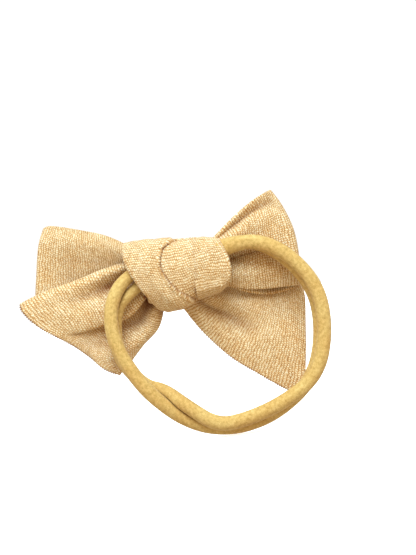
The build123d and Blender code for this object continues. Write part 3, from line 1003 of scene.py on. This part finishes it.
def waist_station(x):
    """Section of the pleated waist at x. The pleats are deeper and nearer the back towards the left mouth."""
    squeeze = 1.0 - 0.12 * math.cos(x / 9.0)
    near_mouth = max(0.0, -x / 13.0) ** 2
    middle = 15.0 - 3.6 * near_mouth
    depth = 1.5 + 2.3 * near_mouth
    section = []
    for k in range(WAIST_FOLDS + 1):
        y = middle + (depth if k % 2 else -depth)
        z = 0.9 + (WAIST_HALF - k * 2 * WAIST_HALF / WAIST_FOLDS) * squeeze
        section.append((x, y, z))
    return section


def build_waist():
    """Pleats of the strip's middle, running through the knot."""
    stations = [waist_station(x) for x in WAIST_X]
    # The waist gets painted shade at its left end, inside the knot.
    piece, _ = strip_piece("gathered_waist_cloth", stations, 40, 140, 0.05, 31, thickness=1.1, root=0.9)
    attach(piece, "knot")
    dress(piece, KNIT, "gathered_waist")


def dress_packed_part(node, material):
    """Gives a part that is shown as it was packed its material."""
    packed = next(o for o in bpy.data.objects if o.type == "MESH" and o.name == node)
    packed.data.materials.clear()
    packed.data.materials.append(material)


def build_inside():
    build_waist()
    nylon = nylon_material("soft_nylon_inside", "object")
    thread = thread_material("sewing_thread_inside", "object")
    dress_packed_part("band_in_knot_upper", nylon)
    dress_packed_part("band_in_knot_lower", nylon)
    dress_packed_part("band_join_stitching", thread)


# ---------------------------------------------------------------- floor, light and world

def build_floor():
    """Pale floor just under the bow. Diffuse light doesn't meet it, so it throws none back at the cloth."""
    half = FLOOR_HALF
    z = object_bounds()[0][2] - FLOOR_GAP
    mesh = bpy.data.meshes.new("studio_floor")
    corners = [(-half, -half, z), (half, -half, z), (half, half, z), (-half, half, z)]
    mesh.from_pydata(corners, [], [(0, 1, 2, 3)])
    floor = bpy.data.objects.new("studio_floor", mesh)
    bpy.context.scene.collection.objects.link(floor)
    n = Nodes("studio_floor")
    n.shader.inputs["Base Color"].default_value = (0.96, 0.96, 0.955, 1.0)
    n.shader.inputs["Roughness"].default_value = 0.9
    n.shader.inputs["Specular IOR Level"].default_value = 0.1
    n.shader.inputs["Emission Color"].default_value = (1.0, 1.0, 1.0, 1.0)
    n.shader.inputs["Emission Strength"].default_value = 0.6
    mesh.materials.append(n.material)
    floor.visible_diffuse = False


def sky_colour(tree):
    """Colour of the surroundings, from warm and dim below to pale above."""
    coordinate = tree.nodes.new("ShaderNodeTexCoord")
    split = tree.nodes.new("ShaderNodeSeparateXYZ")
    tree.links.new(coordinate.outputs["Generated"], split.inputs[0])
    height = tree.nodes.new("ShaderNodeMapRange")
    height.inputs["From Min"].default_value = -1.0
    tree.links.new(split.outputs[2], height.inputs["Value"])
    fade = tree.nodes.new("ShaderNodeValToRGB")
    fade.color_ramp.elements[0].color = (*WORLD_LOW, 1.0)
    fade.color_ramp.elements[1].color = (*WORLD_HIGH, 1.0)
    level = fade.color_ramp.elements.new(0.5)
    level.color = (*WORLD_LEVEL, 1.0)
    tree.links.new(height.outputs[0], fade.inputs["Fac"])
    return fade.outputs["Color"]


def build_world():
    """Light from all round, while the camera itself sees plain white."""
    world = bpy.data.worlds.new("studio")
    world.use_nodes = True
    bpy.context.scene.world = world
    tree = world.node_tree
    background = tree.nodes["Background"]
    background.inputs["Strength"].default_value = WORLD_STRENGTH
    tree.links.new(sky_colour(tree), background.inputs["Color"])
    seen = tree.nodes.new("ShaderNodeBackground")
    seen.inputs["Color"].default_value = (1.0, 1.0, 1.0, 1.0)
    seen.inputs["Strength"].default_value = 1.05
    path = tree.nodes.new("ShaderNodeLightPath")
    mix = tree.nodes.new("ShaderNodeMixShader")
    tree.links.new(path.outputs["Is Camera Ray"], mix.inputs["Fac"])
    tree.links.new(background.outputs[0], mix.inputs[1])
    tree.links.new(seen.outputs[0], mix.inputs[2])
    tree.links.new(mix.outputs[0], tree.nodes["World Output"].inputs["Surface"])


def build_sun():
    data = bpy.data.lights.new("sky_sun", "SUN")
    data.energy = SUN_ENERGY
    data.color = SUN_COLOUR
    data.angle = SUN_SPREAD
    sun = bpy.data.objects.new("sky_sun", data)
    sun.rotation_euler = SUN_TURN
    bpy.context.scene.collection.objects.link(sun)


# ---------------------------------------------------------------- the bow, put together

make_camera()
build_strand("band_strand_a", ROUTE_A, ROUTE_B, 0.16, 3)
build_strand("band_strand_b", ROUTE_B, ROUTE_A, 0.0, 8)
build_outer_turn()
build_inner_turn()
build_tucked_end()
build_loops_and_tails()
build_inside()
bpy.context.scene.view_settings.view_transform = "Standard"
build_floor()
build_world()
build_sun()
